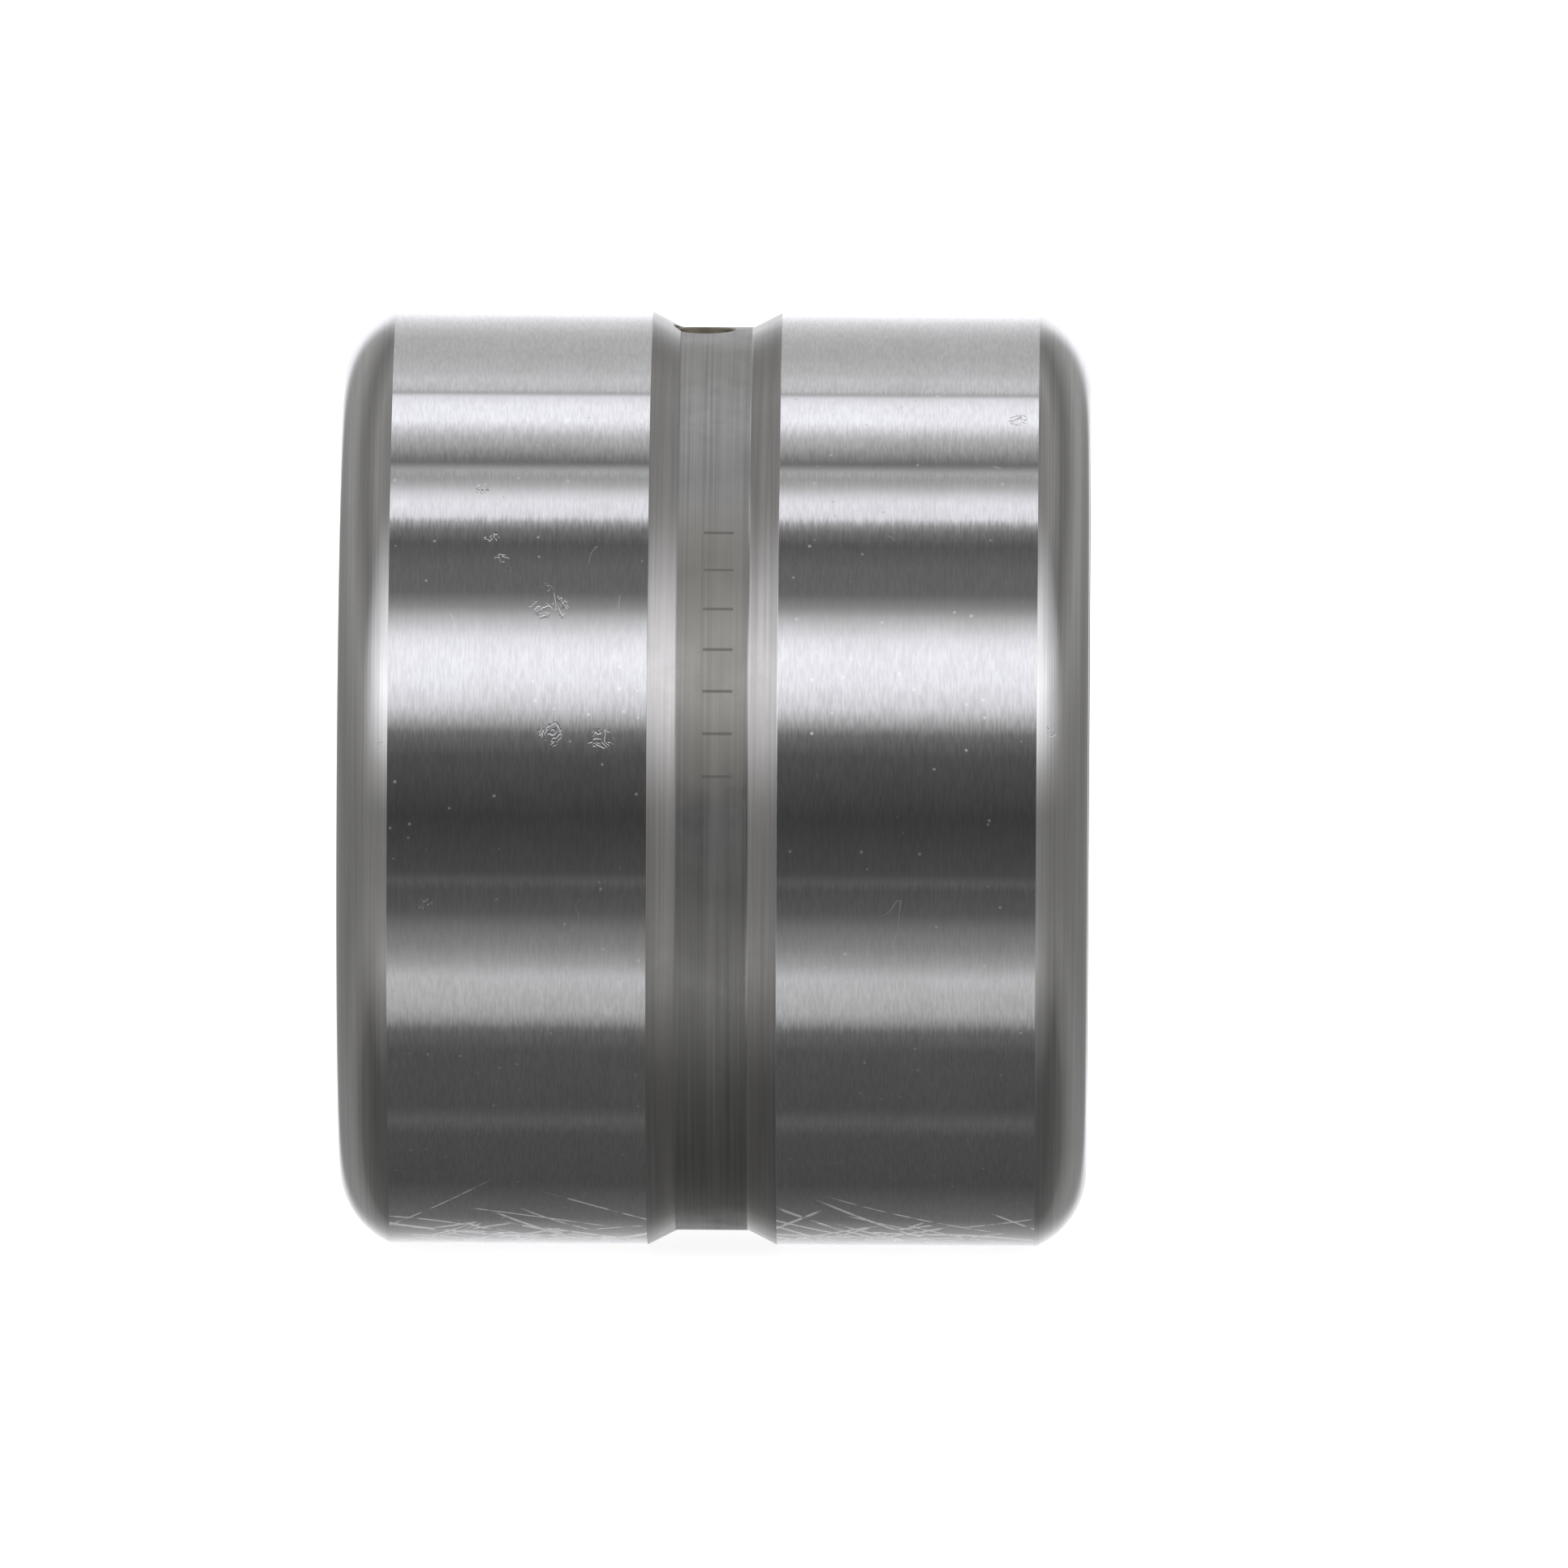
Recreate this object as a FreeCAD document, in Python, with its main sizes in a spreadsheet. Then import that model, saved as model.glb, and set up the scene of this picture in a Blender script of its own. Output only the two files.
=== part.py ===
import FreeCAD, Part
import os
import Sketcher

# A heavy-duty needle roller bearing without an inner ring, in millimetres.
# The bearing's axis is X, +Z is up, and the origin is the middle of the bearing.
# It is a one-piece ring with two ribs, a cage that runs inside the ribs' bores, and
# a full set of rollers that are pressed into the cage's pockets from the bore side.

DRIVING_SIZES = [
    # alias, value, what it is
    ("outer_diameter", 31.75, "ground outside of the ring, the housing's bore"),
    ("ring_width", 25.4, "ring, face to face"),
    ("shaft_diameter", 19.05, "circle inside the rollers, the shaft's seat"),
    ("roller_diameter", 3.175, "roller"),
    ("roller_count", 18, "rollers around the shaft"),
    ("roller_edge_radius", 0.3, "rounding at both ends of a roller"),
    ("raceway_clearance", 0.02, "radial play between rollers and raceway"),
    ("rib_width", 3.6, "thickness of each rib along the axis"),
    ("roller_end_play", 0.2, "ribs' spacing less the roller's length"),
    ("bore_chamfer", 0.4, "chamfer where a rib's bore meets the ring's face"),
    ("corner_radius", 2.8, "radius turned on the ring's outer corners"),
    ("corner_width", 1.75, "from the ring's face to where the outside is ground"),
    ("oil_groove_width", 4.4, "oil groove at the outside diameter"),
    ("oil_groove_depth", 0.5, "oil groove, below the outside diameter"),
    ("oil_groove_angle", 27.0, "degrees between the groove's flanks and the axis"),
    ("oil_hole_diameter", 2.0, "oil hole from the groove to the raceway"),
    ("oil_hole_offset", -0.45, "oil hole from the ring's middle, along the axis"),
    ("cage_recess", 0.9, "cage's end face behind the ring's face"),
    ("cage_wall", 0.9, "cage, radially"),
    ("cage_rise", 0.1, "cage's outside beyond the rollers' pitch circle"),
    ("cage_edge_chamfer", 0.15, "chamfer on the cage's end edges"),
    ("guide_clearance", 0.08, "radial gap between the cage and the ribs' bores"),
    ("pocket_clearance", 0.05, "gap between a roller and its pocket's sides"),
    ("pocket_end_clearance", 0.12, "gap between a roller's end and its pocket"),
    ("pocket_lip", 0.09, "how far a pocket's lip reaches in over the roller, each side"),
]

# Sizes that follow from the driving ones. OVERCUT only takes cutting outlines clear of the metal.
OUTER_RADIUS = "dims.outer_diameter / 2"
HALF_WIDTH = "dims.ring_width / 2"
ROLLER_RADIUS = "dims.roller_diameter / 2"
PITCH_RADIUS = "(dims.shaft_diameter + dims.roller_diameter) / 2"
RACEWAY_RADIUS = "(dims.shaft_diameter / 2 + dims.roller_diameter + dims.raceway_clearance)"
HALF_CHANNEL = "(dims.ring_width / 2 - dims.rib_width)"
HALF_ROLLER = "(dims.ring_width / 2 - dims.rib_width - dims.roller_end_play / 2)"
HALF_CAGE = "(dims.ring_width / 2 - dims.cage_recess)"
CAGE_OUTSIDE = f"({PITCH_RADIUS} + dims.cage_rise)"
CAGE_BORE = f"({CAGE_OUTSIDE} - dims.cage_wall)"
RIB_BORE = f"({CAGE_OUTSIDE} + dims.guide_clearance)"
CORNER_DEPTH = "sqrt(2 * dims.corner_radius * dims.corner_width - dims.corner_width ^ 2)"
POCKET_RADIUS = f"({ROLLER_RADIUS} + dims.pocket_clearance)"
LIP_HALF_WIDTH = f"({ROLLER_RADIUS} - dims.pocket_lip)"
LIP_RADIUS = f"({PITCH_RADIUS} - sqrt({POCKET_RADIUS} ^ 2 - {LIP_HALF_WIDTH} ^ 2))"
OVERCUT = "1"


def make_sheet(document):
    """Put every driving size into the document's spreadsheet, one row each."""
    sheet = document.addObject("Spreadsheet::Sheet", "dims")
    for row, (alias, value, note) in enumerate(DRIVING_SIZES, start=1):
        sheet.set(f"A{row}", alias)
        sheet.set(f"B{row}", str(value))
        sheet.set(f"C{row}", note)
        sheet.setAlias(f"B{row}", alias)
    document.recompute()
    return sheet


def add_sketch(body, name, plane_role):
    """Start a sketch on one of the body's own origin planes."""
    sketch = body.newObject("Sketcher::SketchObject", name)
    plane = next(item for item in body.Origin.OriginFeatures if item.Role == plane_role)
    sketch.AttachmentSupport = [(plane, "")]
    sketch.MapMode = "FlatFace"
    return sketch


def point_at(sketch, corner):
    """The place that a pair of expressions gives in a sketch."""
    across, up = [float(sketch.evalExpression(size)) for size in corner]
    return FreeCAD.Vector(across, up, 0)


def bind(sketch, kind, *where, size):
    """Add a dimension to a sketch and tie it to the spreadsheet."""
    value = float(sketch.evalExpression(size))
    index = sketch.addConstraint(Sketcher.Constraint(kind, *where, value))
    sketch.setExpression(f"Constraints[{index}]", size)


def draw_outline(sketch, corners, arcs=None):
    """Draw a closed outline through corners, each a pair of expressions.

    arcs maps the number of a side to (radius, centre), all expressions: that side
    is the short arc about that centre between its two corners.
    """
    arcs = arcs or {}
    points = [point_at(sketch, corner) for corner in corners]
    first_ends = []
    for side, start in enumerate(points):
        end = points[(side + 1) % len(points)]
        if side in arcs:
            centre = point_at(sketch, arcs[side][1])
            runs_forward = (start - centre).cross(end - centre).z > 0
            low, high = (start, end) if runs_forward else (end, start)
            circle = Part.Circle(centre, FreeCAD.Vector(0, 0, 1), (start - centre).Length)
            arc = Part.ArcOfCircle(circle, circle.parameter(low), circle.parameter(high))
            sketch.addGeometry(arc, False)
            first_ends.append(1 if runs_forward else 2)
        else:
            sketch.addGeometry(Part.LineSegment(start, end), False)
            first_ends.append(1)
    for side, first_end in enumerate(first_ends):
        following = (side + 1) % len(points)
        last_end = 3 - first_end
        sketch.addConstraint(
            Sketcher.Constraint("Coincident", side, last_end, following, first_ends[following]))
        across, up = corners[side]
        bind(sketch, "DistanceX", -1, 1, side, first_end, size=across)
        bind(sketch, "DistanceY", -1, 1, side, first_end, size=up)
    for side, (radius, _) in arcs.items():
        bind(sketch, "Radius", side, size=radius)
    if sketch.solve() != 0 or not sketch.FullyConstrained:
        raise RuntimeError(f"{sketch.Label} is not fully dimensioned")


def revolve(body, kind, name, sketch):
    """Turn a sketch a full turn about the bearing's axis, as metal or as a cut."""
    feature = body.newObject(kind, name)
    feature.Profile = sketch
    feature.ReferenceAxis = (sketch, ["H_Axis"])
    feature.Angle = 360
    sketch.Document.recompute()
    return feature


def make_outer_ring(document):
    """Ring with integral ribs: turned blank, raceway, rounded corners, oil groove and oil hole."""
    body = document.addObject("PartDesign::Body", "outer_ring")

    blank = add_sketch(body, "ring_section", "XY_Plane")
    draw_outline(blank, [
        (f"-{HALF_WIDTH}", OUTER_RADIUS),
        (f"-{HALF_WIDTH}", f"{RIB_BORE} + dims.bore_chamfer"),
        (f"-{HALF_WIDTH} + dims.bore_chamfer", RIB_BORE),
        (f"{HALF_WIDTH} - dims.bore_chamfer", RIB_BORE),
        (HALF_WIDTH, f"{RIB_BORE} + dims.bore_chamfer"),
        (HALF_WIDTH, OUTER_RADIUS),
    ])
    revolve(body, "PartDesign::Revolution", "ring_blank", blank)

    channel = add_sketch(body, "raceway_section", "XY_Plane")
    draw_outline(channel, [
        (f"-{HALF_CHANNEL}", RACEWAY_RADIUS),
        (f"-{HALF_CHANNEL}", f"{RIB_BORE} - {OVERCUT}"),
        (HALF_CHANNEL, f"{RIB_BORE} - {OVERCUT}"),
        (HALF_CHANNEL, RACEWAY_RADIUS),
    ])
    revolve(body, "PartDesign::Groove", "raceway", channel)

    # The corner's arc leaves the ring's face square and is cut off by the ground outside,
    # which leaves a visible edge there.
    corner = add_sketch(body, "corner_section", "XY_Plane")
    draw_outline(corner, [
        (f"{HALF_WIDTH} - dims.corner_width", OUTER_RADIUS),
        (HALF_WIDTH, f"{OUTER_RADIUS} - {CORNER_DEPTH}"),
        (f"{HALF_WIDTH} + {OVERCUT}", f"{OUTER_RADIUS} - {CORNER_DEPTH}"),
        (f"{HALF_WIDTH} + {OVERCUT}", f"{OUTER_RADIUS} + {OVERCUT}"),
        (f"{HALF_WIDTH} - dims.corner_width", f"{OUTER_RADIUS} + {OVERCUT}"),
    ], arcs={0: ("dims.corner_radius",
                 (f"{HALF_WIDTH} - dims.corner_radius", f"{OUTER_RADIUS} - {CORNER_DEPTH}"))})
    right_corner = revolve(body, "PartDesign::Groove", "right_corner", corner)
    both_corners = body.newObject("PartDesign::Mirrored", "both_corners")
    both_corners.Originals = [right_corner]
    both_corners.MirrorPlane = (corner, ["V_Axis"])
    body.Tip = both_corners
    document.recompute()

    half_floor = "(dims.oil_groove_width / 2 - dims.oil_groove_depth / tan(dims.oil_groove_angle))"
    half_mouth = f"(dims.oil_groove_width / 2 + {OVERCUT} / tan(dims.oil_groove_angle))"
    groove = add_sketch(body, "oil_groove_section", "XY_Plane")
    draw_outline(groove, [
        (f"-{half_floor}", f"{OUTER_RADIUS} - dims.oil_groove_depth"),
        (half_floor, f"{OUTER_RADIUS} - dims.oil_groove_depth"),
        (half_mouth, f"{OUTER_RADIUS} + {OVERCUT}"),
        (f"-{half_mouth}", f"{OUTER_RADIUS} + {OVERCUT}"),
    ])
    revolve(body, "PartDesign::Groove", "oil_groove", groove)

    hole_circle = add_sketch(body, "oil_hole_circle", "XY_Plane")
    hole_circle.addGeometry(Part.Circle(FreeCAD.Vector(0, 0, 0), FreeCAD.Vector(0, 0, 1), 1), False)
    bind(hole_circle, "Diameter", 0, size="dims.oil_hole_diameter")
    bind(hole_circle, "DistanceX", -1, 1, 0, 3, size="dims.oil_hole_offset")
    hole_circle.addConstraint(Sketcher.Constraint("PointOnObject", 0, 3, -1))
    hole = body.newObject("PartDesign::Pocket", "oil_hole")
    hole.Profile = hole_circle
    hole.Type = "Length"
    hole.Reversed = True
    hole.setExpression("Length", OUTER_RADIUS)
    document.recompute()
    return body


def make_cage(document):
    """One-piece cage: a plain ring with a pocket for each roller, open on both sides."""
    body = document.addObject("PartDesign::Body", "cage")

    section = add_sketch(body, "cage_section", "XY_Plane")
    draw_outline(section, [
        (f"-{HALF_CAGE}", f"{CAGE_OUTSIDE} - dims.cage_edge_chamfer"),
        (f"-{HALF_CAGE}", f"{CAGE_BORE} + dims.cage_edge_chamfer"),
        (f"-{HALF_CAGE} + dims.cage_edge_chamfer", CAGE_BORE),
        (f"{HALF_CAGE} - dims.cage_edge_chamfer", CAGE_BORE),
        (HALF_CAGE, f"{CAGE_BORE} + dims.cage_edge_chamfer"),
        (HALF_CAGE, f"{CAGE_OUTSIDE} - dims.cage_edge_chamfer"),
        (f"{HALF_CAGE} - dims.cage_edge_chamfer", CAGE_OUTSIDE),
        (f"-{HALF_CAGE} + dims.cage_edge_chamfer", CAGE_OUTSIDE),
    ])
    revolve(body, "PartDesign::Revolution", "cage_blank", section)

    # A pocket's sides are flat outside the pitch circle and follow the roller inside it,
    # down to two lips that the roller snaps past and that then keep it in.
    pocket = add_sketch(body, "pocket_section", "YZ_Plane")
    outer_end = f"{CAGE_OUTSIDE} + {OVERCUT}"
    inner_end = f"{CAGE_BORE} - {OVERCUT}"
    roller_centre = ("0", PITCH_RADIUS)
    draw_outline(pocket, [
        (f"-{LIP_HALF_WIDTH}", inner_end),
        (LIP_HALF_WIDTH, inner_end),
        (LIP_HALF_WIDTH, LIP_RADIUS),
        (POCKET_RADIUS, PITCH_RADIUS),
        (POCKET_RADIUS, outer_end),
        (f"-{POCKET_RADIUS}", outer_end),
        (f"-{POCKET_RADIUS}", PITCH_RADIUS),
        (f"-{LIP_HALF_WIDTH}", LIP_RADIUS),
    ], arcs={2: (POCKET_RADIUS, roller_centre), 6: (POCKET_RADIUS, roller_centre)})
    first_pocket = body.newObject("PartDesign::Pocket", "first_pocket")
    first_pocket.Profile = pocket
    first_pocket.Type = "Length"
    first_pocket.Midplane = True
    first_pocket.setExpression("Length", f"2 * ({HALF_ROLLER} + dims.pocket_end_clearance)")
    document.recompute()

    all_pockets = body.newObject("PartDesign::PolarPattern", "all_pockets")
    all_pockets.Originals = [first_pocket]
    all_pockets.Axis = (pocket, ["N_Axis"])
    all_pockets.Angle = 360
    all_pockets.setExpression("Occurrences", "dims.roller_count")
    body.Tip = all_pockets
    document.recompute()
    return body


def make_roller(document, number):
    """One roller with rounded ends, lying in its pocket; the first one is at the top."""
    body = document.addObject("PartDesign::Body", f"roller_{number:02d}")
    section = add_sketch(body, f"roller_section_{number:02d}", "XY_Plane")
    shoulder = f"({HALF_ROLLER} - dims.roller_edge_radius)"
    rim = f"({ROLLER_RADIUS} - dims.roller_edge_radius)"
    draw_outline(section, [
        (f"-{HALF_ROLLER}", "0"),
        (HALF_ROLLER, "0"),
        (HALF_ROLLER, rim),
        (shoulder, ROLLER_RADIUS),
        (f"-{shoulder}", ROLLER_RADIUS),
        (f"-{HALF_ROLLER}", rim),
    ], arcs={2: ("dims.roller_edge_radius", (shoulder, rim)),
             4: ("dims.roller_edge_radius", (f"-{shoulder}", rim))})
    revolve(body, "PartDesign::Revolution", f"roller_blank_{number:02d}", section)
    turn = f"({number - 1} * 360 / dims.roller_count)"
    body.setExpression(".Placement.Base.y", f"-{PITCH_RADIUS} * sin({turn})")
    body.setExpression(".Placement.Base.z", f"{PITCH_RADIUS} * cos({turn})")
    document.recompute()
    return body


def check_model(document, bodies):
    """Stop unless every object computed, every cut took metal away and every piece is one good solid."""
    for item in document.Objects:
        if "Invalid" in item.State or "Error" in item.State:
            raise RuntimeError(f"{item.Label} did not compute: {item.State}")
        is_cut = item.TypeId in ("PartDesign::Groove", "PartDesign::Pocket")
        if is_cut and item.Shape.Volume >= item.BaseFeature.Shape.Volume:
            raise RuntimeError(f"{item.Label} cuts nothing")
    for body in bodies:
        shape = body.Shape
        if shape.isNull() or not shape.isValid() or len(shape.Solids) != 1:
            raise RuntimeError(f"{body.Label} is not one valid solid")


document = FreeCAD.newDocument("needle_roller_bearing")
sheet = make_sheet(document)
bodies = [make_outer_ring(document), make_cage(document)]
for number in range(1, int(sheet.roller_count) + 1):
    bodies.append(make_roller(document, number))
check_model(document, bodies)

os.makedirs("parts", exist_ok=True)
for body in bodies:
    body.Shape.exportStep(f"parts/{body.Label}.step")
    print(f"{body.Label}: {body.Shape.Volume:.2f} cubic millimetres")
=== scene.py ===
# %% [markdown]
# # A needle roller bearing on a white table
#
# The object is a heavy-duty needle roller bearing without an inner ring: one machined
# ring with a wide oil groove, a pierced steel cage inside it, and eighteen rollers.
# The design comes first and is only loaded here. It fixes where everything is and how
# it moves. This lesson then rebuilds every piece as a fine mesh with broken edges, and
# gives each surface the finish that its last tool left on it.
#
# The bearing's axis is X, up is Z, and the origin is the bearing's centre.

# %% Load the fixed frame
import itertools
import math
import random
import bpy
import bmesh
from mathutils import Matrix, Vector


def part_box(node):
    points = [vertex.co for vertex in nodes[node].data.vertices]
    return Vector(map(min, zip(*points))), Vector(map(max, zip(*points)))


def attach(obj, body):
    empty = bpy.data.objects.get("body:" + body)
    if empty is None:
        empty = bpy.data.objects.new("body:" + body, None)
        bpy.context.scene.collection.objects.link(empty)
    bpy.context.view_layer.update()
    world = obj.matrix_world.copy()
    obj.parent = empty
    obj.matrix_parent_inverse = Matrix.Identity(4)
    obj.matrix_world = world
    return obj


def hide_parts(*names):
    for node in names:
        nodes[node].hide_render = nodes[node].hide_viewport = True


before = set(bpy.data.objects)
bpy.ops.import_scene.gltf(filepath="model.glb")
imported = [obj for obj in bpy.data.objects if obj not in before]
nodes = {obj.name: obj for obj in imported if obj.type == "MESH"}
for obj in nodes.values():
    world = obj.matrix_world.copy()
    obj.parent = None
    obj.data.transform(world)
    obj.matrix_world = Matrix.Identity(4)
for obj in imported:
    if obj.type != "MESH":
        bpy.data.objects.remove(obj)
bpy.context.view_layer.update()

# %% [markdown]
# ## Sizes
#
# A drawn piece only fits if its sizes come from the design, so the outside
# sizes are read from the boxes of the loaded solids.

# %% Read the sizes that the design fixes
MM = 0.001
TURN = 2 * math.pi


def high_corner(name):
    """The highest corner of a solid's box, from the bearing's centre."""
    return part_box(name)[1]


def box_centre(name):
    """The middle of a solid's box."""
    low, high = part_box(name)
    return (low + high) / 2


HALF_WIDTH = high_corner("outer_ring").x
OUTER_RADIUS = high_corner("outer_ring").z
CAGE_HALF_WIDTH = high_corner("cage").x
CAGE_OUTSIDE = high_corner("cage").z
ROLLER_HALF_LENGTH = high_corner("roller_01").x
ROLLER_RADIUS = high_corner("roller_01").z - box_centre("roller_01").z
PITCH_RADIUS = box_centre("roller_01").z
ROLLER_NAMES = sorted(name for name in nodes if name.startswith("roller"))
ROLLER_COUNT = len(ROLLER_NAMES)
print("ring", round(2 * OUTER_RADIUS / MM, 3), "by", round(2 * HALF_WIDTH / MM, 3), "mm,",
      ROLLER_COUNT, "rollers")

# %% [markdown]
# Sizes that no box can give, such as the radius of a corner, are written once, in
# millimetres as on a drawing. The scene works in metres, so every one of them is
# multiplied by MM. Clearances are added to the piece that they keep clear of.

# %% Write down the other sizes
RIB_WIDTH = 3.6 * MM
RIB_BORE = CAGE_OUTSIDE + 0.08 * MM
RACEWAY_RADIUS = PITCH_RADIUS + ROLLER_RADIUS + 0.02 * MM
BORE_CHAMFER = 0.4 * MM
CORNER_RADIUS = 2.8 * MM
CORNER_WIDTH = 1.75 * MM
GROOVE_HALF_WIDTH = 2.2 * MM
GROOVE_DEPTH = 0.5 * MM
GROOVE_FLANK_ANGLE = math.radians(27)
FLOOR_RADIUS = OUTER_RADIUS - GROOVE_DEPTH
OIL_HOLE_RADIUS = 1.0 * MM
OIL_HOLE_X = -0.45 * MM
CAGE_BORE = CAGE_OUTSIDE - 0.9 * MM
POCKET_CLEARANCE = 0.05 * MM
POCKET_END_CLEARANCE = 0.12 * MM
POCKET_LIP = 0.09 * MM
ROLLER_EDGE_RADIUS = 0.3 * MM
print("raceway", round(2 * RACEWAY_RADIUS / MM, 3), "mm across, groove floor",
      round(2 * FLOOR_RADIUS / MM, 3), "mm across")

# %% [markdown]
# ## A lathe
#
# Ring and rollers are turned parts, so the right tool is a lathe: draw half of the
# section once and spin it about the axis. A Screw modifier would do that too, but code
# gives every face the name of the cut that made it, and so its own finish.
#
# Round stretches of a section are arcs, worked out from a centre and two ends.

# %% Points on an arc
def arc_points(centre, start, end, steps):
    """Points from start to end on the arc about centre, both ends included."""
    first = math.atan2(start.y - centre.y, start.x - centre.x)
    sweep = math.atan2(end.y - centre.y, end.x - centre.x) - first
    sweep = (sweep + math.pi) % TURN - math.pi
    radius = (start - centre).length
    angles = [first + sweep * step / steps for step in range(steps + 1)]
    return [Vector((centre.x + radius * math.cos(a), centre.y + radius * math.sin(a))) for a in angles]


quarter = arc_points(Vector((0, 0)), Vector((1, 0)), Vector((0, 1)), 6)
print("a quarter circle in six steps:", [tuple(round(value, 2) for value in point) for point in quarter])

# %% [markdown]
# No real edge is perfectly sharp, so each corner of a section gets a small arc before
# it is spun. An extra point on each side of the arc holds the flat faces flat, or else
# their shading would bend towards the edge.

# %% Round the corners of a section
HOLD = 0.03 * MM


def round_corner(before, corner, after, radius, steps=4):
    """The small arc that replaces one corner between two straight sides."""
    inward = (before - corner).normalized()
    onward = (after - corner).normalized()
    half_angle = inward.angle(onward) / 2
    reach = radius / math.tan(half_angle)
    centre = corner + (inward + onward).normalized() * (radius / math.sin(half_angle))
    return arc_points(centre, corner + inward * reach, corner + onward * reach, steps)


def rounded_section(sides):
    """Turn a closed list of (point, edge radius, cut) into points, each with the cut that follows it."""
    section = []
    for index, (point, radius, cut) in enumerate(sides):
        corner = Vector(point)
        before = Vector(sides[index - 1][0])
        after = Vector(sides[(index + 1) % len(sides)][0])
        points = round_corner(before, corner, after, radius) if radius else [corner]
        cuts = [cut] * len(points)
        if radius and (corner - before).length > 8 * HOLD:
            points.insert(0, points[0] + (before - corner).normalized() * HOLD)
            cuts.insert(0, sides[index - 1][2])
        if radius and (after - corner).length > 8 * HOLD:
            points.append(points[-1] + (after - corner).normalized() * HOLD)
            cuts.append(cut)
        section += zip(points, cuts)
    return section


print("a corner holds its faces flat", round(HOLD / MM, 3), "mm from its arc")

# %% [markdown]
# Every piece is made from a plain list of points and faces. The faces are then turned
# outwards, and the mesh is shaded smooth except where two faces meet at more than the
# sharp angle. Modifiers are applied at once.

# %% Make an object from points and faces
SHARP_ANGLE = math.radians(32)


def new_object(name, points, faces):
    """Make a mesh object from its points and faces, with all faces turned outwards."""
    mesh = bpy.data.meshes.new(name)
    mesh.from_pydata(points, [], faces)
    shell = bmesh.new()
    shell.from_mesh(mesh)
    bmesh.ops.recalc_face_normals(shell, faces=shell.faces)
    shell.to_mesh(mesh)
    shell.free()
    made = bpy.data.objects.new(name, mesh)
    bpy.context.scene.collection.objects.link(made)
    return made


def smooth_between_edges(made):
    """Shade the mesh smooth and keep its real edges crisp."""
    made.data.shade_smooth()
    made.data.set_sharp_from_angle(angle=SHARP_ANGLE)


def apply_modifiers(made):
    """Replace an object's mesh by the result of its modifiers."""
    graph = bpy.context.evaluated_depsgraph_get()
    result = bpy.data.meshes.new_from_object(made.evaluated_get(graph), depsgraph=graph)
    made.modifiers.clear()
    made.data = result


print("edges stay sharp above", round(math.degrees(SHARP_ANGLE)), "degrees")

# %% [markdown]
# The lathe repeats the section at equal steps round the axis and joins each step to the
# next with four-sided faces. Each cut's name becomes a material slot.

# %% Spin a section about the X axis
def lathe(name, section, steps, materials):
    """Spin a section about X. materials maps each cut's name to its material."""
    slots = list(materials)
    made_points = []
    for point, _ in section:
        for step in range(steps):
            angle = TURN * step / steps
            made_points.append((point.x, -point.y * math.sin(angle), point.y * math.cos(angle)))
    faces = []
    cuts = []
    for index, (_, cut) in enumerate(section):
        following = (index + 1) % len(section)
        for step in range(steps):
            beside = (step + 1) % steps
            faces.append((index * steps + step, index * steps + beside,
                          following * steps + beside, following * steps + step))
            cuts.append(slots.index(cut))
    made = new_object(name, made_points, faces)
    for cut in slots:
        made.data.materials.append(materials[cut])
    made.data.polygons.foreach_set("material_index", cuts)
    smooth_between_edges(made)
    return made


# %% [markdown]
# ## Finishes
#
# All three pieces are the same bearing steel. What tells them apart is the tool that
# made each surface: the outside is ground, the groove and the round corners are
# turned, the cage is pierced and tumbled. A grinding wheel and a turning tool both run
# round the part, so their marks are hair-fine lines round the axis. The trick for such
# lines is to stretch a noise: it changes very fast along the axis and very slowly
# around it. It is worked out for every point in space, so there is no seam.
#
# A finish is a tree of nodes. Written out in full it would be long, so a few helpers
# add a node, set it and link it in one line each.

# %% Add and link one node
def add_node(tree, kind, settings=None, **inputs):
    """Add one node, set its properties, and give each input a value or a link.

    An input goes by its name, or by its number as in n0, n1 where a node has no names for them.
    """
    made = tree.nodes.new(kind)
    for name, value in (settings or {}).items():
        setattr(made, name, value)
    for name, value in inputs.items():
        numbered = name[0] == "n" and name[1:].isdigit()
        socket = made.inputs[int(name[1:])] if numbered else made.inputs[name]
        if isinstance(value, bpy.types.NodeSocket):
            tree.links.new(value, socket)
        else:
            socket.default_value = value
    return made


# %% Short forms of the nodes used most
def math_node(tree, operation, *values, clamp=False):
    """One Math node; returns its output."""
    made = add_node(tree, "ShaderNodeMath", {"operation": operation, "use_clamp": clamp},
                    **{f"n{index}": value for index, value in enumerate(values)})
    return made.outputs[0]


def vector_node(tree, operation, *values):
    """One Vector Math node; returns the node."""
    return add_node(tree, "ShaderNodeVectorMath", {"operation": operation},
                    **{f"n{index}": value for index, value in enumerate(values)})


def smooth_range(tree, value, low, high):
    """0 below low, 1 above high, smooth between; returns the output."""
    made = add_node(tree, "ShaderNodeMapRange", {"interpolation_type": "SMOOTHSTEP"},
                    Value=value, n1=low, n2=high)
    return made.outputs[0]


def linear_range(tree, value, low, high):
    """0 at low, 1 at high, straight between; returns the output."""
    return add_node(tree, "ShaderNodeMapRange", Value=value, n1=low, n2=high).outputs[0]


def mix_colour(tree, factor, first, second, blend="MIX"):
    """Mix two colours; returns the output."""
    made = tree.nodes.new("ShaderNodeMix")
    made.data_type = "RGBA"
    made.blend_type = blend
    for socket, value in ((made.inputs[0], factor), (made.inputs[6], first), (made.inputs[7], second)):
        if isinstance(value, bpy.types.NodeSocket):
            tree.links.new(value, socket)
        else:
            socket.default_value = value
    return made.outputs[2]


def place_on_piece(tree):
    """Where a point is on its piece, in metres from the piece's origin; returns the output."""
    return tree.nodes.new("ShaderNodeTexCoord").outputs["Object"]


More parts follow.
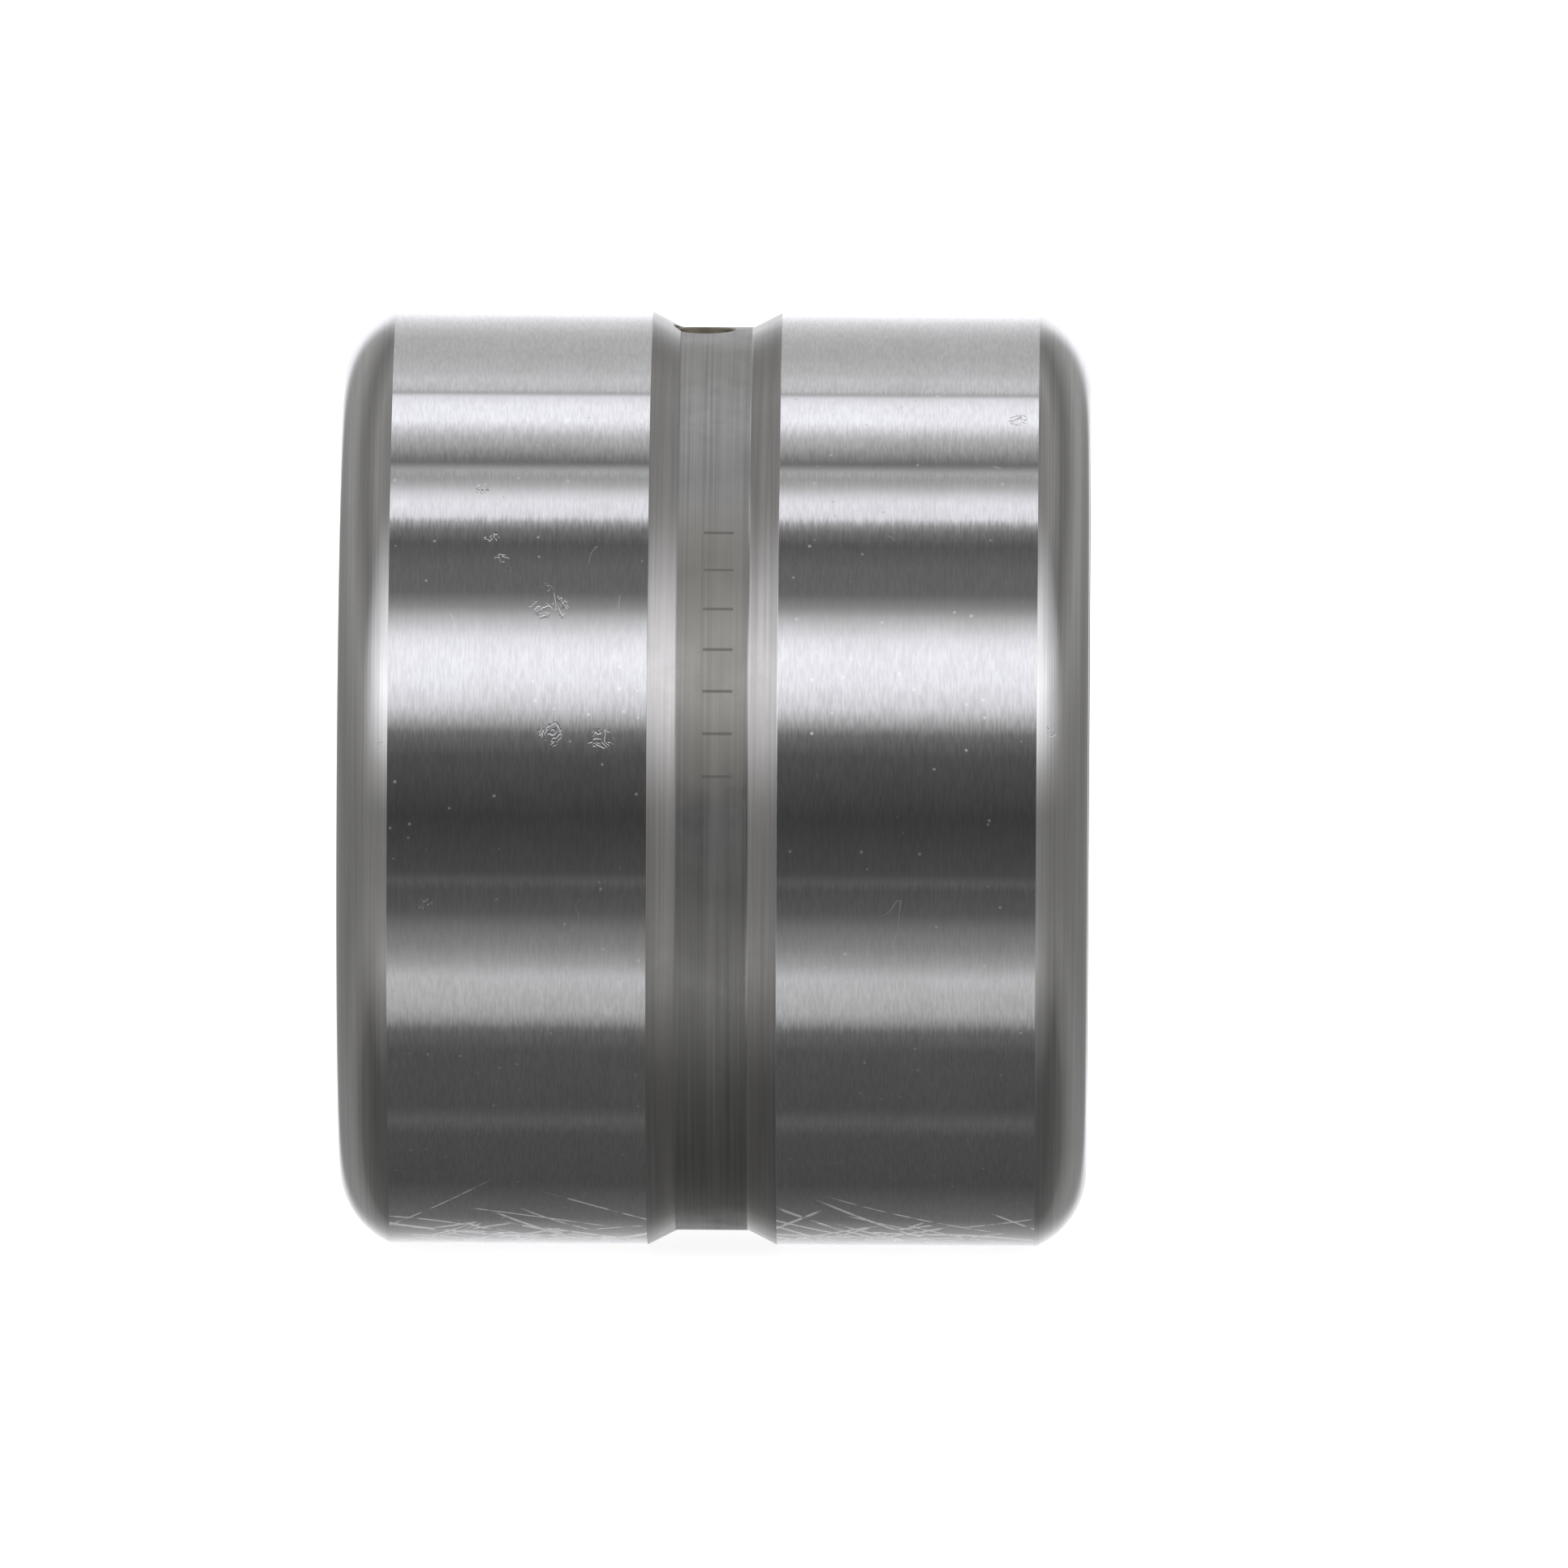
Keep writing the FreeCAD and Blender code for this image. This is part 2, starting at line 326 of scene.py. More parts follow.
def add_group(tree, group, **inputs):
    """Place a node group in a tree; an underscore in an input's name stands for a space."""
    named = {name.replace("_", " "): value for name, value in inputs.items()}
    return add_node(tree, "ShaderNodeGroup", {"node_tree": group}, **named)


# %% [markdown]
# An effect that several finishes share is a node group: a box of nodes with named
# inputs and outputs, built once and placed in each material with its own values.

# %% Start a node group
def new_group(name, inputs, outputs):
    """A shader node group with named float or vector sockets."""
    kinds = {"float": "NodeSocketFloat", "vector": "NodeSocketVector"}
    group = bpy.data.node_groups.new(name, "ShaderNodeTree")
    for socket_name, kind, value in inputs:
        socket = group.interface.new_socket(socket_name, in_out="INPUT", socket_type=kinds[kind])
        socket.default_value = value
    for socket_name, kind in outputs:
        group.interface.new_socket(socket_name, in_out="OUTPUT", socket_type=kinds[kind])
    return group, group.nodes.new("NodeGroupInput"), group.nodes.new("NodeGroupOutput")


def describe(group):
    """Print what a finished group has."""
    sockets = [item.name for item in group.interface.items_tree]
    print("group", group.name, "with", len(group.nodes), "nodes and sockets", sockets)


# %% [markdown]
# ### Lines left by a tool that runs round the part
#
# The tool travels along the outside, round the corner and in over the face, so its
# lines are counted by the distance it has travelled: sideways from the middle, and
# inwards from the outside. Two layers of noise over that distance make hair-fine lines
# and broader ones, where the tool cut a little deeper. Slow changes round the axis
# keep the lines from being perfect circles. A third, cloudy noise is for the film of
# oil and the touch of hands that no steel is free of.

# %% Node group: tool lines
def make_tool_lines():
    """Lines round the X axis, with the number per millimetre as an input."""
    group, given, out = new_group(
        "tool_lines",
        [("Lines per mm", "float", 12.0), ("Length", "float", 1.0), ("Broad share", "float", 0.4),
         ("Shift", "float", 0.0)],
        [("Height", "float"), ("Broad", "float"), ("Film", "float")])
    place = place_on_piece(group)
    parts = add_node(group, "ShaderNodeSeparateXYZ", Vector=place)
    x, y, z = (parts.outputs[axis] for axis in "XYZ")
    from_axis = math_node(group, "SQRT", math_node(group, "MULTIPLY_ADD", y, y,
                                                   math_node(group, "MULTIPLY", z, z)))
    travel = math_node(group, "SUBTRACT", math_node(group, "ABSOLUTE", x), from_axis)
    side = math_node(group, "MULTIPLY_ADD", math_node(group, "SIGN", x), 0.05, travel)
    travelled = add_node(group, "ShaderNodeCombineXYZ", X=side, Y=y, Z=z).outputs[0]
    along = math_node(group, "MULTIPLY", given.outputs["Lines per mm"], 1000.0)
    around = math_node(group, "DIVIDE", 60.0, given.outputs["Length"])
    fine_scale = add_node(group, "ShaderNodeCombineXYZ", X=along, Y=around, Z=around).outputs[0]
    shift = add_node(group, "ShaderNodeCombineXYZ", X=given.outputs["Shift"], Y=given.outputs["Shift"],
                     Z=given.outputs["Shift"]).outputs[0]
    stretched = vector_node(group, "MULTIPLY_ADD", travelled, fine_scale, shift).outputs[0]
    fine = add_node(group, "ShaderNodeTexNoise", Vector=stretched, Scale=1.0, Detail=3.0,
                    Roughness=0.65).outputs[0]
    broad_scale = vector_node(group, "MULTIPLY", fine_scale, (0.12, 0.25, 0.25)).outputs[0]
    broad_place = vector_node(group, "MULTIPLY_ADD", travelled, broad_scale, shift).outputs[0]
    broad = add_node(group, "ShaderNodeTexNoise", Vector=broad_place, Scale=1.0, Detail=2.0,
                     Roughness=0.5).outputs[0]
    height = add_node(group, "ShaderNodeMix", Factor=given.outputs["Broad share"],
                      A=fine, B=broad).outputs[0]
    moved = vector_node(group, "ADD", place, shift).outputs[0]
    film = add_node(group, "ShaderNodeTexNoise", Vector=moved, Scale=320.0, Detail=5.0,
                    Roughness=0.7).outputs[0]
    group.links.new(height, out.inputs["Height"])
    group.links.new(broad, out.inputs["Broad"])
    group.links.new(film, out.inputs["Film"])
    return group


TOOL_LINES = make_tool_lines()
describe(TOOL_LINES)

# %% [markdown]
# ### Streaks that tilt the light
#
# Ground steel reflects like a mirror with thousands of short, narrow facets, each one
# tilted a little forwards or back along the grinding. That is why the edge of a
# reflection looks frayed there. A bump can't do this: its slope across the narrow
# facets would be far steeper than along them. So this group tilts the normal itself,
# and only along the tangent that runs round the axis. Its second output is the noise
# behind the tilt, for a little difference in brightness from streak to streak.

# %% Node group: grinding streaks
def make_grinding_streaks():
    """A normal tilted along the grinding, by a different amount in each short streak."""
    group, given, out = new_group(
        "grinding_streaks",
        [("Streaks per mm", "float", 14.0), ("Length in mm", "float", 0.5), ("Tilt", "float", 0.03)],
        [("Normal", "vector"), ("Streak", "float")])
    place = place_on_piece(group)
    along = math_node(group, "MULTIPLY", given.outputs["Streaks per mm"], 1000.0)
    around = math_node(group, "DIVIDE", 1000.0, given.outputs["Length in mm"])
    scale = add_node(group, "ShaderNodeCombineXYZ", X=along, Y=around, Z=around).outputs[0]
    stretched = vector_node(group, "MULTIPLY", place, scale).outputs[0]
    noise = add_node(group, "ShaderNodeTexNoise", Vector=stretched, Scale=1.0, Detail=2.0,
                     Roughness=0.6).outputs[0]
    centred = math_node(group, "SUBTRACT", noise, 0.5)
    tilt = math_node(group, "MULTIPLY", centred, given.outputs["Tilt"])
    tangent = add_node(group, "ShaderNodeTangent", {"direction_type": "RADIAL", "axis": "X"}).outputs[0]
    step = add_node(group, "ShaderNodeVectorMath", {"operation": "SCALE"}, Vector=tangent,
                    Scale=tilt).outputs[0]
    flat = group.nodes.new("ShaderNodeNewGeometry").outputs["Normal"]
    tilted = vector_node(group, "NORMALIZE", vector_node(group, "ADD", flat, step).outputs[0]).outputs[0]
    group.links.new(tilted, out.inputs["Normal"])
    group.links.new(noise, out.inputs["Streak"])
    return group


GRINDING_STREAKS = make_grinding_streaks()
describe(GRINDING_STREAKS)

# %% [markdown]
# ### Handling marks
#
# A bearing that has been in and out of its box carries short, thin scratches. A noise
# is 0.5 along long winding threads, so keeping only what is very close to 0.5 gives
# thin lines, and a second noise cuts them into short pieces.

# %% Node group: scratches
def thin_line(tree, noise, thickness):
    """1 on the thread where a noise passes 0.5, falling to 0 beside it."""
    away = math_node(tree, "ABSOLUTE", math_node(tree, "SUBTRACT", noise, 0.5))
    return math_node(tree, "SUBTRACT", 1.0, math_node(tree, "DIVIDE", away, thickness), clamp=True)


def make_scratches():
    """Short thin scratches all over; Amount from 0 to 1 says how much of the thread stays."""
    group, given, out = new_group(
        "scratches",
        [("Scale", "float", 400.0), ("Thickness", "float", 0.006), ("Amount", "float", 0.3),
         ("Shift", "float", 0.0)],
        [("Mask", "float")])
    place = place_on_piece(group)
    shifted = vector_node(group, "ADD", place, given.outputs["Shift"]).outputs[0]
    thread = add_node(group, "ShaderNodeTexNoise", Vector=shifted, Scale=given.outputs["Scale"],
                      Detail=0.0, Distortion=0.8).outputs[0]
    line = thin_line(group, thread, given.outputs["Thickness"])
    cutter_scale = math_node(group, "MULTIPLY", given.outputs["Scale"], 0.9)
    cutter = add_node(group, "ShaderNodeTexNoise", Vector=place, Scale=cutter_scale, Detail=1.0).outputs[0]
    limit = math_node(group, "SUBTRACT", 0.8, math_node(group, "MULTIPLY", given.outputs["Amount"], 0.4))
    kept = math_node(group, "GREATER_THAN", cutter, limit)
    group.links.new(math_node(group, "MULTIPLY", line, kept), out.inputs["Mask"])
    return group


SCRATCHES = make_scratches()
describe(SCRATCHES)

# %% [markdown]
# ### Dings
#
# Where another part has hit the ring there is a patch of small curled scars. The group
# is placed by the patch's middle. Distance from there, made uneven by a noise, says
# where the patch ends, and a twisted noise gives the curls.

# %% Node group: one patch of dings
def make_dings():
    """Curled scars inside an uneven patch round Place."""
    group, given, out = new_group(
        "dings", [("Place", "vector", (0.0, 0.0, 0.0)), ("Size in mm", "float", 0.5)], [("Mask", "float")])
    place = place_on_piece(group)
    distance = vector_node(group, "DISTANCE", place, given.outputs["Place"]).outputs["Value"]
    ragged = add_node(group, "ShaderNodeTexNoise", Vector=place, Scale=1700.0, Detail=1.0).outputs[0]
    reach = math_node(group, "MULTIPLY", given.outputs["Size in mm"],
                      math_node(group, "MULTIPLY_ADD", ragged, 2.4 * MM, -0.3 * MM))
    inside = math_node(group, "SUBTRACT", 1.0, math_node(group, "DIVIDE", distance, reach), clamp=True)
    curl = add_node(group, "ShaderNodeTexNoise", Vector=place, Scale=1300.0, Detail=1.0,
                    Distortion=3.0).outputs[0]
    scar = thin_line(group, curl, 0.05)
    group.links.new(math_node(group, "MULTIPLY", scar, smooth_range(group, inside, 0.05, 0.35)),
                    out.inputs["Mask"])
    return group


DINGS = make_dings()
describe(DINGS)

# %% [markdown]
# ### Long scratches
#
# The ring has been pushed over a table, so long scratches cross each other along the
# line that it rests on. They are too straight and too long for a noise. Each one is
# placed by itself on the unrolled surface, where x along the axis and the arc length
# round it make a flat sheet. A slope and a slight bend give its line, and a noise
# breaks it where the ring didn't touch the table.

# %% Node group: one long scratch
def make_long_scratch():
    """One long, slightly curved scratch on the outside, measured in mm from the bottom of the ring."""
    group, given, out = new_group(
        "long_scratch",
        [("Along", "float", 0.0), ("Round", "float", 0.0), ("Slope", "float", 0.2), ("Bend", "float", 0.0),
         ("Half length", "float", 2.0), ("Half width", "float", 0.08)],
        [("Mask", "float")])
    place_vector = place_on_piece(group)
    place = add_node(group, "ShaderNodeSeparateXYZ", Vector=place_vector)
    down = math_node(group, "MULTIPLY", place.outputs["Z"], -1.0)
    front = math_node(group, "MULTIPLY", place.outputs["Y"], -1.0)
    arc = math_node(group, "MULTIPLY", math_node(group, "ARCTAN2", front, down), OUTER_RADIUS / MM)
    x = math_node(group, "MULTIPLY", place.outputs["X"], 1 / MM)
    onward = math_node(group, "SUBTRACT", x, given.outputs["Along"])
    sloped = math_node(group, "MULTIPLY_ADD", onward, given.outputs["Slope"], given.outputs["Round"])
    squared = math_node(group, "MULTIPLY", onward, onward)
    curve = math_node(group, "MULTIPLY_ADD", squared, given.outputs["Bend"], sloped)
    off = math_node(group, "ABSOLUTE", math_node(group, "SUBTRACT", arc, curve))
    thin = math_node(group, "SUBTRACT", 1.0, math_node(group, "DIVIDE", off, given.outputs["Half width"]),
                     clamp=True)
    used = math_node(group, "DIVIDE", math_node(group, "ABSOLUTE", onward), given.outputs["Half length"])
    ends = math_node(group, "MULTIPLY", math_node(group, "SUBTRACT", 1.0, used), 3.0, clamp=True)
    broken = add_node(group, "ShaderNodeTexNoise", Vector=place_vector, Scale=1500.0,
                      Detail=2.0).outputs[0]
    strength = math_node(group, "MULTIPLY", ends, smooth_range(group, broken, 0.3, 0.6))
    group.links.new(math_node(group, "MULTIPLY", thin, strength), out.inputs["Mask"])
    return group


LONG_SCRATCH = make_long_scratch()
describe(LONG_SCRATCH)

# %% [markdown]
# ### Specks
#
# Dust and pinholes show as tiny bright specks on the dark parts of a reflection. A
# Voronoi noise fills space with cells, each with one point. The surface passes some of
# those points closely and others not at all, so round dots of different sizes appear,
# and each cell's random colour drops half of them.

# %% Node group: specks
def make_specks():
    """Tiny bright specks, scattered unevenly and of different sizes."""
    group, given, out = new_group("specks", [("Cells per mm", "float", 1.7), ("Size", "float", 0.13)],
                                  [("Mask", "float")])
    place = place_on_piece(group)
    cells = add_node(group, "ShaderNodeTexVoronoi", Vector=place,
                     Scale=math_node(group, "MULTIPLY", given.outputs["Cells per mm"], 1000.0))
    edge = math_node(group, "SUBTRACT", given.outputs["Size"], cells.outputs["Distance"])
    dot = math_node(group, "MULTIPLY", edge, 14.0, clamp=True)
    luck = add_node(group, "ShaderNodeSeparateColor", Color=cells.outputs["Color"]).outputs["Red"]
    group.links.new(math_node(group, "MULTIPLY", dot, math_node(group, "GREATER_THAN", luck, 0.5)),
                    out.inputs["Mask"])
    return group


SPECKS = make_specks()
describe(SPECKS)

# %% [markdown]
# ### Steel
#
# One function makes every steel finish. Tool lines change its roughness and height a
# little and are painted into its colour, darker along their low parts as painted shade and
# lighter along their high parts as painted highlight. A film of oil darkens it in clouds, and
# scratches lie over both. The ground outside also gets stretched highlights, as its facets
# all lie one way round.

# %% One function for every steel finish
FILM_TINT = (0.5, 0.46, 0.4, 1)
FILM_SHARE = 0.08
SCRATCH_COLOUR = (0.9, 0.9, 0.9, 1)
GLINT_SHADE = 0.14


def steel(name, colour, roughness, lines_per_mm, line_bump, stretch=0.0, painted_line_shade=0.1,
          scratch_amount=0.0, shift=0.0, length=1.0, tilt=0.0):
    """A Principled steel with tool lines in its roughness and bump, painted shade and highlight along them
    in its colour, and scratches over them.
    """
    material = bpy.data.materials.new(name)
    material.use_nodes = True
    tree = material.node_tree
    shader = tree.nodes["Principled BSDF"]
    shader.inputs["Metallic"].default_value = 1.0
    shader.inputs["Anisotropic"].default_value = stretch
    shader.inputs["Anisotropic Rotation"].default_value = 0.25
    tangent = add_node(tree, "ShaderNodeTangent", {"direction_type": "RADIAL", "axis": "X"}).outputs[0]
    tree.links.new(tangent, shader.inputs["Tangent"])
    lines = add_group(tree, TOOL_LINES, Lines_per_mm=lines_per_mm, Length=length, Shift=shift)
    scratches = add_group(tree, SCRATCHES, Amount=scratch_amount, Shift=shift * 0.01)
    # The tool lines are painted into the colour: darker along their low parts as painted shade, lighter
    # along their high parts as painted highlight.
    painted_valley_shade = tuple(value * (1 - painted_line_shade) for value in colour) + (1,)
    light = tuple(min(1, value * (1 + painted_line_shade)) for value in colour) + (1,)
    painted_lines = mix_colour(tree, smooth_range(tree, lines.outputs["Height"], 0.3, 0.7), painted_valley_shade, light)
    film = smooth_range(tree, lines.outputs["Film"], 0.35, 0.65)
    filmed = mix_colour(tree, math_node(tree, "MULTIPLY", film, FILM_SHARE), painted_lines, FILM_TINT,
                        blend="MULTIPLY")
    scratched = mix_colour(tree, math_node(tree, "MULTIPLY", scratches.outputs["Mask"], 0.35), filmed,
                           SCRATCH_COLOUR)
    tree.links.new(scratched, shader.inputs["Base Color"])
    rough = math_node(tree, "MULTIPLY_ADD", lines.outputs["Broad"], roughness * 0.4, roughness * 0.7)
    rough = math_node(tree, "MULTIPLY_ADD", film, roughness * 0.2, rough)
    rougher = math_node(tree, "MULTIPLY_ADD", scratches.outputs["Mask"], 0.25, rough)
    tree.links.new(rougher, shader.inputs["Roughness"])
    depth = math_node(tree, "MULTIPLY_ADD", scratches.outputs["Mask"], -1.2, lines.outputs["Height"])
    bump = add_node(tree, "ShaderNodeBump", Height=depth, Strength=1.0, Distance=line_bump)
    if tilt:
        streaks = add_group(tree, GRINDING_STREAKS, Tilt=tilt)
        tree.links.new(streaks.outputs["Normal"], bump.inputs["Normal"])
        glint = smooth_range(tree, streaks.outputs["Streak"], 0.3, 0.7)
        darker = math_node(tree, "MULTIPLY", glint, GLINT_SHADE)
        streaked = mix_colour(tree, darker, scratched, (0.0, 0.0, 0.0, 1))
        tree.links.new(streaked, shader.inputs["Base Color"])
    tree.links.new(bump.outputs[0], shader.inputs["Normal"])
    return material


# %% [markdown]
# The outside is nearly a mirror, but short facets stretch and fray its reflections.
# Turned surfaces are darker, with lines that can be counted. The cage has been tumbled,
# so its marks are short and run all ways. The oil has dried in the drilled hole, which
# is brown and dull.

# %% Make the finishes
STEEL = (0.66, 0.662, 0.672)
GROUND = steel("ground_steel", STEEL, 0.10, 25.0, 0.00006 * MM, stretch=0.8, painted_line_shade=0.025,
               scratch_amount=0.25, tilt=0.015)
TURNED = steel("turned_steel", (0.49, 0.484, 0.476), 0.14, 9.0, 0.003 * MM, painted_line_shade=0.18, shift=3.0)
FLANK = steel("turned_flank_steel", (0.42, 0.411, 0.4), 0.26, 12.0, 0.002 * MM, painted_line_shade=0.2,
              shift=5.0)
GROOVE = steel("turned_groove_steel", (0.365, 0.361, 0.353), 0.42, 12.0, 0.002 * MM, painted_line_shade=0.2,
               shift=7.0)
FACE = steel("ground_face_steel", STEEL, 0.22, 14.0, 0.0008 * MM, painted_line_shade=0.09, scratch_amount=0.4,
             shift=11.0)
HONED = steel("honed_raceway_steel", (0.6, 0.6, 0.6), 0.12, 30.0, 0.0001 * MM, painted_line_shade=0.03,
              shift=13.0)
CAGE_STEEL = steel("cage_steel", (0.36, 0.35, 0.33), 0.34, 6.0, 0.002 * MM, painted_line_shade=0.1,
                   scratch_amount=0.6, shift=17.0, length=0.2)
ROLLER_STEEL = steel("roller_steel", (0.66, 0.66, 0.66), 0.1, 30.0, 0.0001 * MM, painted_line_shade=0.03,
                     scratch_amount=0.2, shift=19.0)
HOLE_STEEL = steel("drilled_hole_steel", (0.45, 0.42, 0.34), 0.5, 8.0, 0.002 * MM, painted_line_shade=0.15,
                   shift=23.0)
finishes = [GROUND, TURNED, FLANK, GROOVE, FACE, HONED, CAGE_STEEL, ROLLER_STEEL, HOLE_STEEL]
print("finishes:", len(finishes), "each with about", len(TURNED.node_tree.nodes), "nodes")

# %% [markdown]
# ## Marks on the outside
#
# A mark goes over a finish that is already there, so each helper looks up what feeds
# the shader's socket and puts its own node between the two.

# %% Lay a mark over a finish
def dent(material, mask, depth):
    """Press the surface in by depth, in metres, where the mask is 1."""
    tree = material.node_tree
    shader = tree.nodes["Principled BSDF"]
    below = shader.inputs["Normal"].links[0].from_socket
    pressed = add_node(tree, "ShaderNodeBump", {"invert": True}, Height=mask, Distance=depth,
                       Normal=below)
    tree.links.new(pressed.outputs[0], shader.inputs["Normal"])


def put_over(material, mask, colour, roughness=None):
    """Lay a colour, and if given a roughness, over a finish where the mask is 1."""
    tree = material.node_tree
    shader = tree.nodes["Principled BSDF"]
    below = shader.inputs["Base Color"].links[0].from_socket
    tree.links.new(mix_colour(tree, mask, below, colour), shader.inputs["Base Color"])
    if roughness is not None:
        below = shader.inputs["Roughness"].links[0].from_socket
        mixed = add_node(tree, "ShaderNodeMix", Factor=mask, A=below, B=roughness).outputs[0]
        tree.links.new(mixed, shader.inputs["Roughness"])


# %% Specks and dings
DING_DEPTH = 0.003 * MM


def add_specks(material):
    """Dust and pinholes that catch a little light."""
    tree = material.node_tree
    mask = add_group(tree, SPECKS).outputs["Mask"]
    put_over(material, math_node(tree, "MULTIPLY", mask, 0.5), (0.9, 0.9, 0.9, 1), roughness=0.6)


def add_dings(material, places):
    """Dents at (x, height, size), all in millimetres, on the front of the ring."""
    tree = material.node_tree
    total = None
    for x, height, size in places:
        depth = -math.sqrt((OUTER_RADIUS / MM) ** 2 - height ** 2)
        dings = add_group(tree, DINGS, Place=(x * MM, depth * MM, height * MM),
                          Size_in_mm=size).outputs["Mask"]
        total = dings if total is None else math_node(tree, "MAXIMUM", total, dings)
    put_over(material, math_node(tree, "MULTIPLY", total, 0.15), (0.8, 0.8, 0.8, 1), roughness=0.25)
    dent(material, total, DING_DEPTH)


add_specks(GROUND)
add_dings(GROUND, [(-5.4, 7.5, 0.75), (-3.9, 3.0, 0.65), (-5.4, 3.3, 0.4), (-7.8, 11.1, 0.25),
                   (-7.5, 9.6, 0.3), (-7.2, 9.0, 0.25), (-6.8, 8.5, 0.3), (-9.6, -2.5, 0.25),
                   (10.2, 13.3, 0.35)])
add_dings(TURNED, [(-11.35, 3.0, 0.4), (-11.2, -0.7, 0.3), (11.5, 3.4, 0.35)])
print("ground steel has", len(GROUND.node_tree.nodes), "nodes")

# %% [markdown]
# The long scratches are drawn by lot, with a fixed seed so that they are the same every
# time. A scratch throws up a burr, which leans down and so mirrors the bright room
# under and behind the bearing. Leaning the normal down does that without any real depth.

# %% Long scratches where the ring rests
SCRATCH_SEED = 11
BURR_LEAN = (0.0, 0.1, -0.45)


def add_rolling_scratches(material, number):
    """Long crossing scratches near the bottom, with burrs that lean down."""
    luck = random.Random(SCRATCH_SEED)
    tree = material.node_tree
    shader = tree.nodes["Principled BSDF"]
    mask = None
    for index in range(number):
        side = 1 if index % 2 else -1
        scratch = add_group(
            tree, LONG_SCRATCH,
            Along=side * luck.uniform(2.6, 10.4), Round=luck.triangular(2.0, 8.6, 5.0),
            Slope=luck.choice((-1, 1)) * luck.uniform(0.15, 1.3), Bend=luck.uniform(-0.12, 0.04),
            Half_length=luck.uniform(0.7, 3.2), Half_width=luck.uniform(0.06, 0.15)).outputs["Mask"]
        mask = scratch if mask is None else math_node(tree, "MAXIMUM", mask, scratch)
    put_over(material, mask, (0.95, 0.95, 0.95, 1), roughness=0.35)
    lean = add_node(tree, "ShaderNodeVectorMath", {"operation": "SCALE"}, Vector=BURR_LEAN,
                    Scale=mask).outputs[0]
    below = shader.inputs["Normal"].links[0].from_socket
    leaning = vector_node(tree, "NORMALIZE", vector_node(tree, "ADD", below, lean).outputs[0]).outputs[0]
    tree.links.new(leaning, shader.inputs["Normal"])


add_rolling_scratches(GROUND, 64)
print("with its long scratches it has", len(GROUND.node_tree.nodes))

# %% [markdown]
# ## Etched ticks
#
# Etching stains steel brown and leaves no depth to speak of, so it is a change of
# colour and roughness only. The groove's floor is unrolled like the outside. The
# fraction of the arc length repeats a tick along it, and other ranges cut the row to
# its length and each tick to its width. A fainter stain lies round the whole row.

# %% Etched ticks on the groove's floor
TICK_SPACING = 1.45 * MM
TICK_COUNT = 7
FIRST_TICK = 1.1 * MM
TICK_MIDDLE_X = 0.17 * MM


def etch_ticks(material):
    """A row of plain ticks along the front of the groove, and the faint stain of the etching."""
    tree = material.node_tree
    place = add_node(tree, "ShaderNodeSeparateXYZ",
                     Vector=place_on_piece(tree))
    ahead = math_node(tree, "MULTIPLY", place.outputs["Y"], -1.0)
    arc = math_node(tree, "MULTIPLY", math_node(tree, "ARCTAN2", place.outputs["Z"], ahead), FLOOR_RADIUS)
    along = math_node(tree, "DIVIDE", math_node(tree, "SUBTRACT", arc, FIRST_TICK), TICK_SPACING)
    row = math_node(tree, "MULTIPLY", math_node(tree, "GREATER_THAN", along, 0.0),
                    math_node(tree, "LESS_THAN", along, float(TICK_COUNT)))
    from_tick = math_node(tree, "SUBTRACT", math_node(tree, "FRACT", along), 0.5)
    in_tick = math_node(tree, "ABSOLUTE", from_tick)
    thin = math_node(tree, "SUBTRACT", 1.0, smooth_range(tree, in_tick, 0.025, 0.045))
    sideways = math_node(tree, "ABSOLUTE", math_node(tree, "SUBTRACT", place.outputs["X"], TICK_MIDDLE_X))
    short = math_node(tree, "SUBTRACT", 1.0, smooth_range(tree, sideways, 0.48 * MM, 0.53 * MM))
    tick = math_node(tree, "MULTIPLY", math_node(tree, "MULTIPLY", row, thin), short)
    past_end = smooth_range(tree, along, TICK_COUNT - 0.8, TICK_COUNT + 0.8)
    stain = math_node(tree, "MULTIPLY", smooth_range(tree, along, -0.6, 0.8),
                      math_node(tree, "SUBTRACT", 1.0, past_end))
    put_over(material, math_node(tree, "MULTIPLY", stain, 0.3), (0.40, 0.375, 0.30, 1))
    put_over(material, math_node(tree, "MULTIPLY", tick, 0.6), (0.17, 0.145, 0.14, 1), roughness=0.6)


etch_ticks(GROOVE)
print("ticks:", TICK_COUNT, "over", round(TICK_COUNT * TICK_SPACING / MM, 2), "mm of the groove")

# %% [markdown]
# ## The ring
#
# The ring is turned from bar, hardened, and then ground on its outside, its faces and
# its raceway. The section below goes once round it, starting in the middle of the oil
# groove. Each point has the radius of its broken edge and the cut that follows it.

# %% Draw the right half of the ring's section
CORNER_STEPS = 24
CORNER_DEPTH = math.sqrt(2 * CORNER_RADIUS * CORNER_WIDTH - CORNER_WIDTH ** 2)
FLOOR_HALF_WIDTH = GROOVE_HALF_WIDTH - GROOVE_DEPTH / math.tan(GROOVE_FLANK_ANGLE)
CHANNEL_HALF_WIDTH = HALF_WIDTH - RIB_WIDTH


